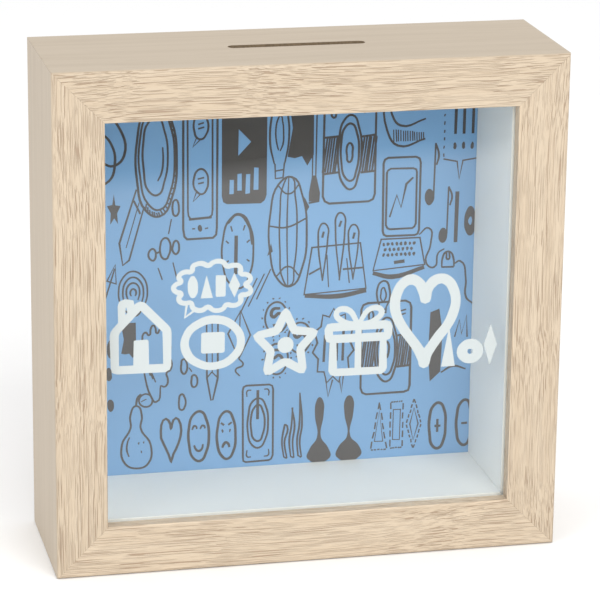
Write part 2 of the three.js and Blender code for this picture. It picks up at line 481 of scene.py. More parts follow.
def vee(name, inset, margin, rear, front):
    """The V of a corner nail: its point on the mitre of the bottom left corner, its legs along both rails."""
    side = NAIL_THICKNESS / 2 + margin
    end = NAIL_LEG + margin
    x, z = inset - SIZE / 2, inset
    piece = block(name, (x - side, front, z - side), (x + end, rear, z + side))
    take_all()
    bpy.ops.mesh.bisect(plane_co=(x + side, 0, 0), plane_no=(1, 0, 0))
    pick(piece, "FACE", lambda face: near(face.center.z, z + side) and face.center.x < x + side)
    bpy.ops.mesh.extrude_region_move(TRANSFORM_OT_translate={"value": (0, 0, end - side)})
    bpy.ops.object.mode_set(mode="OBJECT")
    return piece


def mirrored(piece):
    """Adds the mirror image of a piece on the other side of the box."""
    only(piece)
    mirror = piece.modifiers.new("mirror", "MIRROR")
    mirror.use_mirror_merge = False
    bpy.ops.object.modifier_apply(modifier=mirror.name)


moulding = block("moulding", (-SIZE / 2 - FACE, FRONT, 0), (SIZE / 2 + FACE, REAR, WALL))
take_all()
bpy.ops.mesh.bisect(plane_co=(0, FRONT + LIP, 0), plane_no=(0, 1, 0))
pick(moulding, "FACE", lambda face: near(face.center.z, WALL) and face.center.y < FRONT + LIP)
bpy.ops.mesh.extrude_region_move(TRANSFORM_OT_translate={"value": (0, 0, FACE - WALL)})
for y, z, radius, segments in (
    (FRONT, 0, FRONT_ROUND, 6),
    (FRONT, FACE, SIGHT_ROUND, 4),
    (REAR, 0, REAR_ROUND, 4),
):
    pick(
        moulding,
        "EDGE",
        lambda a, b: all(near(end.y, y) and near(end.z, z) for end in (a, b)),
    )
    bpy.ops.mesh.bevel(offset=radius, offset_type="OFFSET", segments=segments, affect="EDGES")
mitre(moulding)

CORE_BROWN = (0.19, 0.137, 0.083)
fibre_core = paint("fibre_core", CORE_BROWN, 0.9, speckle=0.5, bump=0.0001, scale=2500.0, patches=1100.0)
nail_low, nail_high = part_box("v_nail_bottom_left_1")
slot = slot_cutter()
pilot = upright((0, REAR, WALL / 2), PILOT_RADIUS, PILOT_DEPTH)
pockets = [vee("nail_pocket", inset, NAIL_GRIP, REAR + WALL, nail_low.y) for inset in NAIL_INSETS]
for pocket in pockets:
    mirrored(pocket)
for tool in (slot, pilot, *pockets):
    tool.data.materials.append(fibre_core)
for seed, (side, turn) in enumerate(SIDES.items(), start=1):
    piece = turned(moulding, f"{side}_moulding", 0.0)
    piece.data.materials.append(oak(f"oak_{side}", turn, seed, RAIL_TONES_AND_PAINTED_LIGHT[side]))
    for tool in (pilot, *pockets):
        cut_out(piece, tool, keep_tool=True)
    if side == "top":
        cut_out(piece, slot, keep_tool=True)
    ease(piece, MITRE_EASE)
    finished = turned(piece, f"rail_{side}", turn)
    bpy.data.objects.remove(piece)
    smooth(finished)
    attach(finished, "frame")
    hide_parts(f"{side}_rail")
for done in (moulding, pilot, *pockets):
    bpy.data.objects.remove(done)


# ---- Glass ----
# A pane of thin float glass with its edges arrissed. It lies against the back of the lip, and the lining
# holds it there.

glass_low, glass_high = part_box("glass_pane")
ARRIS = 0.0003
GLOSS_IOR = 1.75  # higher than glass has, for the gloss of both faces of the pane in one

glass, tree = new_material("glass", empty=True)
grazing = add_node(tree, "Fresnel", {"IOR": GLOSS_IOR})
back_side = add_node(tree, "NewGeometry").outputs["Backfacing"]
front_side = add_node(tree, "Math", {0: back_side, 1: 0.5}, operation="LESS_THAN")
share = add_node(tree, "Math", {0: grazing.outputs[0], 1: front_side.outputs[0]}, operation="MULTIPLY")
through = add_node(tree, "BsdfTransparent", {"Color": (0.985, 0.995, 0.99, 1)})
mirror = add_node(tree, "BsdfGlossy", {"Roughness": 0.01})
both = add_node(tree, "MixShader", {"Fac": share.outputs[0], 1: through.outputs[0], 2: mirror.outputs[0]})
add_node(tree, "OutputMaterial", {"Surface": both.outputs[0]})

pane = block("glass", glass_low, glass_high)
ease(pane, ARRIS)
smooth(pane)
pane.data.materials.append(glass)
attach(pane, "frame")
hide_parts("glass_pane")


# ---- White print on the glass ----
# Thick white screen ink on the front of the pane: a row of outline pictures about saving, with a small cloud
# above and three small solid shapes at the end. The ink stands a few hundredths of a millimetre proud.

INK = 0.00004
WHITE_PEN = 3.3  # millimetres
FINE_WHITE_PEN = 1.95
WHITE_INK = (0.525, 0.570, 0.570)


class Drawing:
    """Flat artwork in pen strokes and filled shapes. An icon is drawn in a square that runs from -1 to 1 both
    ways, and at() says where on the sheet that square goes, in millimetres from the lower left corner of the
    frame."""

    def __init__(self, name, pen, unsteady=0.0, seed=1):
        self.name = name
        self.pen = pen / 1000
        self.unsteady = unsteady
        self.chance = Random(seed)
        self.strokes = bpy.data.curves.new(f"{name}_strokes", "CURVE")
        self.strokes.dimensions = "3D"
        self.strokes.bevel_depth = self.pen / 2
        self.strokes.bevel_resolution = 0
        self.strokes.use_fill_caps = True
        self.strokes.resolution_u = 5
        self.shapes = bpy.data.curves.new(f"{name}_shapes", "CURVE")
        self.shapes.dimensions = "2D"
        self.shapes.fill_mode = "BOTH"
        self.shapes.extrude = INK / 2
        self.shapes.resolution_u = 5

    def at(self, x, z, half_width, half_height):
        self.square = (x, z, half_width, half_height)

    def spline(self, curve, points, closed, curved):
        x, z, half_width, half_height = self.square
        spline = curve.splines.new("BEZIER")
        spline.bezier_points.add(len(points) - 1)
        spline.use_cyclic_u = closed
        for knot, (u, v) in zip(spline.bezier_points, points):
            across = x + u * half_width + self.chance.uniform(-self.unsteady, self.unsteady)
            up = z + v * half_height + self.chance.uniform(-self.unsteady, self.unsteady)
            knot.co = (across / 1000 - SIZE / 2, up / 1000, 0)
            knot.handle_left_type = knot.handle_right_type = "AUTO" if curved else "VECTOR"
        return spline

    def stroke(self, *points, closed=False, curved=True, width=1.0):
        spline = self.spline(self.strokes, points, closed, curved)
        uneven = 0.5 * self.unsteady
        for knot in spline.bezier_points:
            knot.radius = width * self.chance.uniform(1 - uneven, 1 + uneven)
        if not closed:
            spline.bezier_points[0].radius *= 0.75
            spline.bezier_points[-1].radius *= 0.75

    def shape(self, *points, curved=False):
        self.spline(self.shapes, points, True, curved)

    def rounded(self, points, nip, closed=True):
        """The same outline with each corner rounded off, from a nip before the corner to a nip after it."""
        half_width, half_height = self.square[2:]
        outline = []
        for k, corner in enumerate(points):
            if not closed and k in (0, len(points) - 1):
                outline.append(corner)
                continue
            ends = []
            for other in (points[k - 1], points[(k + 1) % len(points)]):
                across, up = other[0] - corner[0], other[1] - corner[1]
                share = nip / max(nip, ((across * half_width) ** 2 + (up * half_height) ** 2) ** 0.5)
                ends.append((corner[0] + across * share, corner[1] + up * share))
            middle = [corner[i] / 2 + (ends[0][i] + ends[1][i]) / 4 for i in (0, 1)]
            outline += [ends[0], tuple(middle), ends[1]]
        return outline

    def oval(self, u=0.0, v=0.0, across=1.0, up=1.0, start=0, end=360, width=1.0):
        whole = end - start == 360
        count = max(3, round((end - start) / 40))
        turns = [radians(start + (end - start) * k / count) for k in range(count if whole else count + 1)]
        points = [(u + across * cos(turn), v + up * sin(turn)) for turn in turns]
        self.stroke(*points, closed=whole, width=width)

    def dot(self, u=0.0, v=0.0, across=1.0, up=1.0):
        turns = [k * pi / 4 for k in range(8)]
        self.shape(*[(u + across * cos(turn), v + up * sin(turn)) for turn in turns], curved=True)

    def box(self, left=-1.0, low=-1.0, right=1.0, high=1.0, width=1.0, filled=False):
        """A box with its corners rounded off a little."""
        nip_u, nip_v = 0.12 * (right - left), 0.07 * (high - low)
        corners = []
        for quarter, (u, v) in enumerate(
            ((right - nip_u, high - nip_v), (left + nip_u, high - nip_v), (left + nip_u, low + nip_v),
             (right - nip_u, low + nip_v))
        ):
            for turn in (quarter * pi / 2, (quarter + 0.5) * pi / 2, (quarter + 1) * pi / 2):
                corners.append((u + nip_u * cos(turn), v + nip_v * sin(turn)))
        if filled:
            self.shape(*corners)
        else:
            self.stroke(*corners, closed=True, curved=False, width=width)

    def scallops(self, bumps, depth=0.16, start=0, end=360, width=1.0):
        """An outline of bows, as round a cloud."""
        steps = bumps * 4
        points = []
        for k in range(steps if end - start == 360 else steps + 1):
            turn = radians(start + (end - start) * k / steps)
            reach = 1 - depth + depth * abs(sin(pi * k / 4))
            points.append((reach * cos(turn), reach * sin(turn)))
        self.stroke(*points, closed=end - start == 360, width=width)

    def piece(self, depth):
        """The artwork as one mesh, pressed to the thickness of ink, standing at its depth in the box."""
        bpy.ops.object.select_all(action="DESELECT")
        parts = []
        for curve in (self.strokes, self.shapes):
            part = bpy.data.objects.new(curve.name, curve)
            scene.collection.objects.link(part)
            part.select_set(True)
            parts.append(part)
        bpy.context.view_layer.objects.active = parts[0]
        bpy.ops.object.convert(target="MESH")
        parts[0].scale.z = INK / self.pen
        bpy.ops.object.join()
        art = bpy.context.object
        art.name = self.name
        settle()
        art.rotation_euler.x = pi / 2
        art.location.y = depth
        settle()
        take_all()
        bpy.ops.mesh.remove_doubles(threshold=1e-6)
        bpy.ops.mesh.normals_make_consistent(inside=False)
        bpy.ops.mesh.faces_shade_flat()
        bpy.ops.object.mode_set(mode="OBJECT")
        return art


def star(inner=0.42, points=5):
    """The tips and inner corners of a star, one after the other."""
    reaches = [(1, inner)[k % 2] for k in range(2 * points)]
    return [(reach * sin(k * pi / points), reach * cos(k * pi / points)) for k, reach in enumerate(reaches)]


HEART = [
    (sin(t) ** 3, (13 * cos(t) - 5 * cos(2 * t) - 2 * cos(3 * t) - cos(4 * t)) / 16 + 0.14)
    for t in [k * pi / 14 for k in range(28)]
]

WHITE_UNSTEADY = 0.14
WHITE_NIP = 1.1
white = Drawing("glass_print", WHITE_PEN, WHITE_UNSTEADY, seed=2)

white.at(34, 95, 10.2, 13.3)  # house with a chimney and a solid door
walls_and_roof = ((-1, -1), (1, -1), (1, 0.12), (0, 0.95), (-1, 0.12))
white.stroke(*white.rounded(walls_and_roof, WHITE_NIP), closed=True, curved=False)
chimney = ((-0.72, 0.35), (-0.72, 1.0), (-0.38, 1.0), (-0.38, 0.66))
white.stroke(*white.rounded(chimney, WHITE_NIP, closed=False), curved=False)
white.box(-0.28, -1.0, 0.30, -0.12, filled=True)
white.at(62, 90.7, 11.0, 9.3)  # coin with a square middle
white.oval()
white.box(-0.42, -0.45, 0.42, 0.45, filled=True)
white.at(90.5, 88.3, 12.2, 13.6)  # star with a round middle
white.stroke(*white.rounded(star(0.50), WHITE_NIP), closed=True, curved=False)
white.dot(0, -0.02, 0.26, 0.24)
white.at(119.5, 88.0, 11.2, 12.4)  # gift box with its ribbon and bow
body = ((-0.9, 0.1), (-0.9, -1.0), (0.9, -1.0), (0.9, 0.1))
white.stroke(*white.rounded(body, WHITE_NIP, closed=False), curved=False)
lid = ((-1.05, 0.1), (1.05, 0.1), (1.05, 0.5), (-1.05, 0.5))
white.stroke(*white.rounded(lid, WHITE_NIP), closed=True, curved=False)
white.stroke((0, -1.0), (0, 0.5), curved=False)
for hand in (-1, 1):
    bow = ((0, 0.55), (hand * 0.45, 1.05), (hand * 0.80, 0.95), (hand * 0.55, 0.65), (0, 0.55))
    white.stroke(*bow, width=0.7)
white.at(146, 94.8, 12.2, 19.0)  # tall heart
white.stroke(*HEART, closed=True, width=1.25)
white.at(155.8, 83.5, 2.8, 8.2)  # the three small solid shapes
white.shape((-1, -1), (1, -1), (0, 1.0))
white.at(164.6, 81.1, 5.3, 4.9)
white.dot()
white.dot(0, 0, 0.22, 0.22)
white.at(172.8, 83.5, 2.6, 8.4)
white.shape((-1, 0), (0, -1), (1, 0), (0, 1))
white.at(62, 113.3, 15.2, 10.0)  # cloud, with its tail and four marks
white.scallops(11, width=FINE_WHITE_PEN / WHITE_PEN)
white.stroke((-0.66, -0.66), (-0.72, -1.18), (-0.40, -0.84), curved=False, width=0.42)
white.at(54.2, 113.3, 2.0, 4.4)
white.dot()
white.at(59.6, 113.3, 2.4, 4.6)
white.shape((-1, -1), (1, -1), (0, 1))
white.at(65.0, 113.3, 2.0, 4.2)
white.box(filled=True)
white.at(70.4, 113.3, 2.3, 5.0)
white.shape((-1, 0), (0, -1), (1, 0), (0, 1))

print_on_glass = white.piece(glass_low.y - INK / 2)
print_on_glass.data.materials.append(paint("white_ink", WHITE_INK, 0.45))
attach(print_on_glass, "frame")


# ---- Lining ----
# Four strips of painted fibreboard that stand between the glass and the card and make the walls of the coin
# space. They are mitred like the rails, and the slot goes on through the top one.

strip_low, strip_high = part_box("spacer_bottom")
LINING_EASE = 0.0003
WARM_WHITE = (0.915, 0.895, 0.855)

lining_paint = paint("lining_paint", WARM_WHITE, 0.5)
strip = block("lining", (-SIZE / 2, strip_low.y, strip_low.z), (SIZE / 2, strip_high.y, strip_high.z))
mitre(strip)
for side, turn in SIDES.items():
    piece = turned(strip, f"{side}_strip", 0.0)
    piece.data.materials.append(lining_paint)
    if side == "top":
        cut_out(piece, slot, keep_tool=True)
    ease(piece, LINING_EASE)
    finished = turned(piece, f"lining_{side}", turn)
    bpy.data.objects.remove(piece)
    smooth(finished)
    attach(finished, "frame")
    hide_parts(f"spacer_{side}")
bpy.data.objects.remove(strip)
bpy.data.objects.remove(slot)


# ---- Printed card ----
# Stiff board, blue all over. Its face towards the glass shows, and its back lies against the back board.

card_low, card_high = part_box("printed_card")
CARD_EASE = 0.0002
CARD_BLUE = (0.202, 0.394, 0.655)

card = block("card", card_low, card_high)
ease(card, CARD_EASE)
smooth(card)
card.data.materials.append(paint("blue_print", CARD_BLUE, 0.55, speckle=0.03))
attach(card, "back")
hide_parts("printed_card")


# ---- Print on the card ----
# Grey ink: a close pattern of small pen drawings, drawn tall as if for a longer sheet, which covers the card
# nearly to its edges. The ink lies on the card as a film.

CARD_PEN = 0.84  # millimetres
UNSTEADY = 0.16
GREY_INK = (0.080, 0.071, 0.067)

ink = Drawing("card_print", CARD_PEN, UNSTEADY, seed=4)


def magnifier():
    ink.oval(width=1.1)
    ink.oval(0.02, 0.02, 0.86, 0.90)
    ink.oval(-0.06, 0.06, 0.60, 0.68)
    ink.oval(-0.06, 0.06, 0.38, 0.46, start=-70, end=20)
    for k in range(26):
        turn = radians(-125 + 7 * k)
        end = turn + 0.06
        ink.stroke((0.88 * cos(turn), 0.91 * sin(turn)), (0.98 * cos(end), 0.99 * sin(end)))
    ink.stroke((-0.98, -0.50), (-1.82, -1.42), (-1.66, -1.80), (-1.36, -1.72), (-0.62, -0.80), curved=False)
    ink.stroke((-1.50, -1.5), (-0.85, -0.72), width=0.7)
    ink.stroke((-1.12, -0.68), (-0.80, -0.92), width=1.3)


def phone():
    ink.box(width=1.1)
    ink.box(-0.72, -0.72, 0.72, 0.9, width=0.9)
    ink.stroke((-0.66, -0.73), (0.66, -0.71), width=1.6)
    ink.dot(0, -0.86, 0.14, 0.045)
    for side in (-1, 1):
        ink.stroke((side * 0.30, -0.86), (side * 0.46, -0.855), width=0.9)
    for middle in (0.52, -0.22):
        ink.oval(0.04, middle, 0.42, 0.17)
        tail = ((-0.2, middle - 0.14), (-0.42, middle - 0.27), (0.0, middle - 0.17))
        ink.stroke(*tail, curved=False, width=0.9)
        for k in range(2):
            ink.stroke((-0.14, middle + 0.03 - 0.06 * k), (0.22, middle + 0.05 - 0.06 * k), width=1.1)


def mitten():
    ink.stroke((-1, 0.9), (-0.2, 0.95), (0.7, 0.55), (0.95, -0.2), (0.3, -0.45), (-0.3, -0.35), width=1.3)
    ink.stroke((-0.9, 0.35), (-0.3, 0.4), (0.25, 0.1), (0.45, -0.4), (0.1, -0.85), (-0.95, -1), width=1.2)
    ink.stroke((-1.0, -0.15), (-0.45, -0.25), (-0.35, -0.62), (-0.95, -0.72), width=1.0)


def tile():
    ink.box(filled=True)
    ink.shape((-0.28, -0.12), (0.30, 0.12), (-0.28, 0.36))
    for k in range(4):
        left, right = -0.66 + 0.36 * k, -0.46 + 0.36 * k
        low = -0.82 + 0.06 * (k % 2)
        high = low + 0.26 + 0.05 * k
        ink.shape((left, low), (right, low), (right, high), (left, high))


def lamp_bulb():
    ink.oval(0, 0.15, 0.9, 0.85, start=-58, end=238)
    ink.stroke((-0.42, -0.58), (-0.36, -0.92), (0.36, -0.92), (0.44, -0.56), curved=False)
    ink.stroke((-0.36, -0.74), (0.38, -0.72))
    ink.oval(0, 0.15, 0.36, 0.42, start=-80, end=250, width=0.8)


def banner():
    ragged_edge = ((0.55, -1.0), (0.1, -0.72), (-0.45, -0.78), (-1.0, -0.72), (-0.6, 0.1))
    ink.shape((-1, 1.1), (1, 1.1), (1, -0.7), *ragged_edge)


def plug():
    for side in (-1, 1):
        ink.stroke((side * 0.32, 1.2), (side * 0.30, -0.45), width=0.9)
    ink.shape((-0.4, -0.40), (0.4, -0.40), (1.0, -0.80), (0.95, -1.0), (-0.95, -1.0), (-1.0, -0.80))
    ink.stroke((-0.95, -1.02), (0.95, -1.0), width=1.2)


def camera_icon():
    ink.box(-1, -1, 1, 1.05, width=1.15)
    for left, right in ((-1.0, -0.42), (0.44, 1.0)):
        for level in (-0.42, 0.28):
            ink.stroke((left, level), (right, level + 0.02), width=1.5)
        for k in range(6):
            at = left + (right - left) * (k + 0.6) / 6.2
            ink.stroke((at - 0.08, -0.40), (at + 0.08, 0.28), width=1.25)
    for size in (1.0, 0.78, 0.26):
        ink.oval(0, -0.02, 0.45 * size, 0.73 * size, width=1.1)
    ink.oval(-0.62, 0.76, 0.09, 0.10)
    for k in range(2):
        ink.stroke((0.52, 0.74 + 0.09 * k), (0.78, 0.77 + 0.09 * k), width=1.1)


def tape():
    """A tape measure pulled out in a bow."""
    ink.stroke((-1.0, 1.0), (-0.82, -0.2), (-0.30, -0.72), (0.95, -0.55), width=1.1)
    ink.stroke((-0.72, 1.0), (-0.62, 0.25), (-0.20, -0.10), (0.95, 0.08), width=1.1)
    for k in range(14):
        u = -0.50 + 0.105 * k
        ink.stroke((u, -0.22 - 0.01 * k), (u + 0.02, -0.60), width=0.8)


def chart_note():
    """A note with a broken edge and a bar chart on it."""
    for k in range(9):
        ink.stroke((-0.95, -0.86 + 0.22 * k), (-0.93, -0.78 + 0.22 * k), width=0.9)
    ink.stroke((-0.95, -0.92), (-0.20, -1.0), (-0.08, -1.5), (0.12, -0.98), (1.0, -0.92), curved=False)
    for u, high in ((-0.35, 0.45), (0.12, 0.9), (0.60, 1.3)):
        ink.stroke((u, -0.25), (u + 0.03, high), width=1.9)
        ink.dot(u, -0.58, 0.09, 0.10)


def laptop():
    ink.box(-0.70, -0.30, 0.74, 1.0, width=1.1)
    ink.box(-0.56, -0.18, 0.60, 0.82)
    ink.stroke((-0.42, 0.02), (-0.18, 0.38), (0.0, 0.18), (0.20, 0.56), (0.46, 0.66), curved=False, width=1.2)
    ink.stroke((-0.74, -0.34), (-1.05, -0.86), (0.98, -0.80), (0.76, -0.34), closed=True, curved=False)
    ink.stroke((-1.04, -0.90), (-0.3, -0.98), (0.98, -0.84), width=2.4)
    for row in range(3):
        for k in range(8 - row % 2):
            ink.dot(-0.64 + 0.17 * k + 0.07 * (row % 2), -0.43 - 0.09 * row, 0.055, 0.030)
    ink.stroke((-0.24, -0.74), (0.20, -0.73), width=2.2)


def music_note():
    ink.dot(-0.35, -0.72, 0.55, 0.26)
    ink.stroke((0.1, -0.68), (0.22, 0.96), width=1.1)
    ink.stroke((0.22, 0.98), (0.62, 0.62), (0.42, 0.30), width=1.1)


def pin_and_ball():
    """A skittle beside a ball."""
    ink.stroke((-0.62, -0.95), (-0.60, 1.0), width=2.6)
    ink.dot(0.55, -0.15, 0.50, 0.56)
    ink.dot(0.55, -0.15, 0.14, 0.16)


def clock():
    ink.oval()
    ink.oval(across=0.97, up=0.98, width=1.5, start=10, end=130)
    ink.stroke((-0.12, -0.62), (-0.10, 0.42), width=2.4)
    for turn in (20, 55, 125, 160, 200, 340):
        u, v = cos(radians(turn)), sin(radians(turn))
        ink.stroke((0.62 * u, 0.66 * v), (0.80 * u, 0.84 * v))


def globe():
    ink.oval()
    ink.oval(across=0.46, width=0.8)
    ink.stroke((0.0, 1.0), (-0.06, 0.2), (0.02, -1.0), width=0.8)
    ink.stroke((-1.0, 0.12), (-0.1, 0.08), (1.0, 0.24))
    for level, dip in ((0.86, -0.18), (-0.80, 0.18)):
        ink.stroke((-0.60, level), (0.0, level + dip), (0.62, level), width=0.9)
    ink.shape((0.86, 0.62), (1.12, 0.44), (0.90, 0.30))
    ink.shape((-0.90, -0.20), (-1.08, -0.42), (-0.80, -0.34))


def map_with_pins():
    ink.stroke((-0.78, 0.20), (-1.0, -0.92), (0.98, -0.84), (0.78, 0.26), closed=True, curved=False)
    ink.stroke((-1.0, -0.95), (0.1, -1.0), (1.0, -0.89), width=2.6)
    ink.stroke((-0.86, -0.44), (-0.50, -0.30), width=1.2)
    ink.stroke((0.24, -0.36), (0.90, -0.34), width=1.2)
    for u, high in ((-0.42, 0.76), (0.12, 1.0), (0.56, 0.70)):
        ink.stroke(
            (u, -0.62), (u - 0.15, high - 0.36), (u - 0.12, high - 0.08), (u, high),
            (u + 0.13, high - 0.08), (u + 0.15, high - 0.36), (u, -0.62), width=0.9,
        )
        ink.stroke((u - 0.02, high - 0.34), (u + 0.03, high - 0.20), width=1.5)
    ink.stroke((-0.30, 0.0), (-0.22, -0.76), width=0.8)
    ink.stroke((0.36, -0.1), (0.44, -0.70), width=0.8)


def links():
    """Rings strung together, with dashes flying off."""
    for u, v, across, up in ((-0.55, -0.05, 0.17, 0.17), (0.05, 0.12, 0.24, 0.32), (0.55, 0.14, 0.15, 0.19)):
        ink.oval(u, v, across, up)
    ink.stroke((-0.36, 0.0), (-0.20, 0.03), width=1.4)
    ink.stroke((0.30, 0.12), (0.40, 0.13), width=1.4)
    ink.stroke((0.22, 0.55), (0.36, 0.98), width=0.9)
    ink.stroke((0.42, -0.30), (0.62, -0.78), width=0.9)
    ink.stroke((-0.30, -0.45), (-0.10, -0.80), width=0.9)
    ink.oval(0.55, 1.3, 0.16, 0.24)


def shell():
    for size in (1.0, 0.72, 0.46, 0.2):
        ink.oval(0, -0.05 * size, size, size, start=-40, end=220, width=0.9)
    ink.stroke((0.76, -0.66), (0.1, -1.0), (-0.76, -0.66), width=0.9)


def mouse():
    ink.stroke(
        (-1.0, 1.0), (-0.55, 1.25), (-0.45, 0.6), (-0.62, -0.1), (-0.25, -0.25), (-0.05, 0.28), (0.25, 0.42),
        width=0.9,
    )
    ink.oval(0.42, -0.20, 0.30, 0.52, start=-10, end=190)
    ink.stroke((0.12, -0.28), (0.72, -0.28), width=1.2)
    ink.stroke((0.36, 0.28), (0.42, 0.02), (0.50, 0.30), width=1.1)


def arrow():
    ink.stroke((-0.9, -1.0), (0.5, 0.8))
    ink.stroke((-0.4, 0.2), (0.6, 1.0), (0.75, 0.0), closed=True, curved=False)


def blots():
    for u, v, across, up in ((0.2, 0.75, 0.9, 0.24), (-0.3, 0.10, 0.8, 0.18), (0.1, -0.72, 0.9, 0.16)):
        ink.dot(u, v, across, up)


def tree():
    ink.scallops(7, 0.2, start=-60, end=180)
    ink.stroke((0.38, -0.68), (0.1, -1.15), (-0.16, -1.02), (-0.70, -0.10), width=1.0)
    for k in range(4):
        ink.stroke((-0.72 + 0.16 * k, 0.10 - 0.10 * k), (-0.36 + 0.14 * k, -0.30 - 0.10 * k), width=0.8)


def bubbles():
    for u, v, across, up in ((-0.4, 0.55, 0.26, 0.24), (0.45, 0.05, 0.24, 0.2), (-0.55, -0.62, 0.28, 0.26)):
        ink.oval(u, v, across, up)
    ink.stroke((0.0, 0.5), (0.25, 0.35), width=0.9)


def pencil():
    for side in (-1, 1):
        ink.stroke((side * 0.8, 1.0), (side * 0.75, -0.45), (side * 0.1, -1.0), curved=False)
    ink.stroke((0, 0.95), (0, -0.3), width=0.8)
    ink.stroke((-0.75, -0.45), (0, -0.30), (0.75, -0.45), curved=False, width=0.9)
    ink.stroke((-0.8, 1.0), (0.8, 1.0), width=1.2)


def kite():
    ink.stroke((-0.9, 0.3), (0.1, 1.0), (0.9, 0.2), (0.0, -0.55), closed=True, curved=False)
    ink.stroke((0.1, 1.0), (0.0, -0.55), width=0.8)
    ink.stroke((0.0, -0.55), (0.35, -0.75), (-0.25, -0.9), (0.1, -1.1), width=0.9)


def clover():
    """Three round leaves, dotted round their edges, with a swirl in each."""
    for u, v in ((-0.45, 0.50), (0.48, 0.02), (-0.42, -0.42)):
        ink.oval(u, v, 0.44, 0.34)
        for k in range(14):
            turn = 2 * pi * k / 14
            ink.dot(u + 0.56 * cos(turn), v + 0.43 * sin(turn), 0.035, 0.02)
        ink.stroke(
            (u - 0.12, v - 0.18), (u + 0.20, v - 0.12), (u + 0.12, v + 0.08), (u - 0.14, v + 0.02),
            (u - 0.16, v + 0.18), (u + 0.14, v + 0.20), width=1.6,
        )


def splash():
    """A jagged bubble with two tails and short bars in it."""
    ink.stroke(*star(0.80, 11), closed=True, curved=False)
    ink.stroke((-0.35, -0.82), (-0.22, -1.35), (0.0, -0.90), curved=False)
    ink.stroke((0.30, -0.88), (0.42, -1.25), (0.52, -0.78), curved=False)
    for k in range(4):
        ink.stroke((-0.45 + 0.3 * k, -0.40), (-0.42 + 0.3 * k, 0.30 + 0.12 * (k % 2)), width=1.6)


def dark_box():
    ink.shape((-0.45, 0.9), (0.30, 1.0), (0.62, 0.35), (0.55, -0.75), (-0.35, -1.0), (-0.55, -0.2))
    ink.stroke((0.55, -0.78), (1.6, -0.62), (2.7, -0.72), width=1.1)


def hook():
    ink.stroke((-1, 0.9), (-0.4, 1.0), (0.2, 0.2), (0.3, -0.7), (1.0, -1.0))


def zigzag():
    ink.stroke((-1, -0.8), (-0.3, 0.6), (0.1, -0.6), (0.9, 1.0), (0.95, -0.9), curved=False, width=1.1)


def strokes_falling():
    for k in range(3):
        ink.stroke((-1 + 0.55 * k, -1 + 0.3 * k), (0.15 + 0.45 * k, 0.6 + 0.2 * k), width=0.9)


def pear():
    ink.stroke(
        (0.0, 1.0), (0.38, 0.68), (0.30, 0.28), (0.90, -0.30), (0.72, -0.92), (0.0, -1.05), (-0.74, -0.86),
        (-0.92, -0.25), (-0.34, 0.30), (-0.36, 0.72), closed=True,
    )
    ink.stroke((0.0, 1.0), (0.12, 1.28), (0.34, 1.38), width=1.3)
    ink.stroke((0.2, 1.2), (0.72, 1.36), (1.0, 1.08), (0.52, 0.96), closed=True, width=0.9)
    ink.stroke((0.66, 1.2), (0.3, 1.12), width=0.7)
    ink.oval(-0.25, -0.35, 0.34, 0.40, start=120, end=230, width=0.9)
    for u, v in ((0.32, -0.50), (0.48, -0.20), (0.15, -0.22)):
        ink.dot(u, v, 0.05, 0.04)


def heart():
    ink.stroke(*HEART, closed=True, curved=False, width=1.2)


def face(glad):
    ink.oval(width=1.3)
    for side in (-1, 1):
        if glad:
            ink.oval(side * 0.40, 0.28, 0.22, 0.14, start=0, end=180)
        else:
            ink.stroke((side * 0.22, 0.40), (side * 0.60, 0.50), width=1.4)
            ink.dot(side * 0.40, 0.18, 0.10, 0.07)
    if glad:
        ink.oval(0, -0.28, 0.46, 0.30, start=190, end=350, width=1.2)
    else:
        ink.oval(0, -0.62, 0.40, 0.30, start=20, end=160, width=1.4)


def target():
    ink.box()
    for u in (-1, 1):
        for v in (-1, 1):
            ink.stroke((u * 0.72, v * 0.70), (u * 0.70, v * 0.86), (u * 0.42, v * 0.88), width=0.8)
    ink.oval(across=0.68, up=0.66)
    ink.oval(across=0.46, up=0.48)
    ink.stroke((0, 0.1), (0, 0.86), width=1.8)


def reeds():
    for k, high in enumerate((1.0, 0.55, 0.05)):
        u = 0.75 - 0.62 * k
        ink.stroke((u, -1.0), (u - 0.16, -0.5), (u + 0.05, 0.0), (u - 0.18, high), width=1.0)
        ink.stroke((u - 0.26, -0.95), (u - 0.40, -0.45), (u - 0.22, 0.0), (u - 0.18, high), width=1.0)
        ink.stroke((u, -1.0), (u - 0.26, -0.95), width=1.0)


def bell():
    right = ((0.30, 0.88), (0.36, 0.45), (0.16, -0.30), (0.80, -0.62), (0.98, -0.96))
    left = [(-u, v) for u, v in reversed(right[1:])]
    ink.shape((-0.30, 0.88), (0, 1.0), *right, *left, curved=True)


def block_shape(corners):
    """A shape drawn in dashes, with a second line inside it."""
    closed = (*corners, corners[0])
    for (u0, v0), (u1, v1) in zip(closed, closed[1:]):
        for k in range(5):
            a, b = (k + 0.10) / 5, (k + 0.80) / 5
            ink.stroke((u0 + (u1 - u0) * a, v0 + (v1 - v0) * a), (u0 + (u1 - u0) * b, v0 + (v1 - v0) * b))
    ink.stroke(*[(0.55 * u, 0.65 * v) for u, v in corners], closed=True, curved=False, width=0.7)


def sign(upright):
    ink.oval(width=1.4)
    ink.stroke((-0.40, 0.0), (0.42, 0.0), width=1.6)
    if upright:
        ink.stroke((0.0, -0.28), (0.02, 0.30), width=1.6)


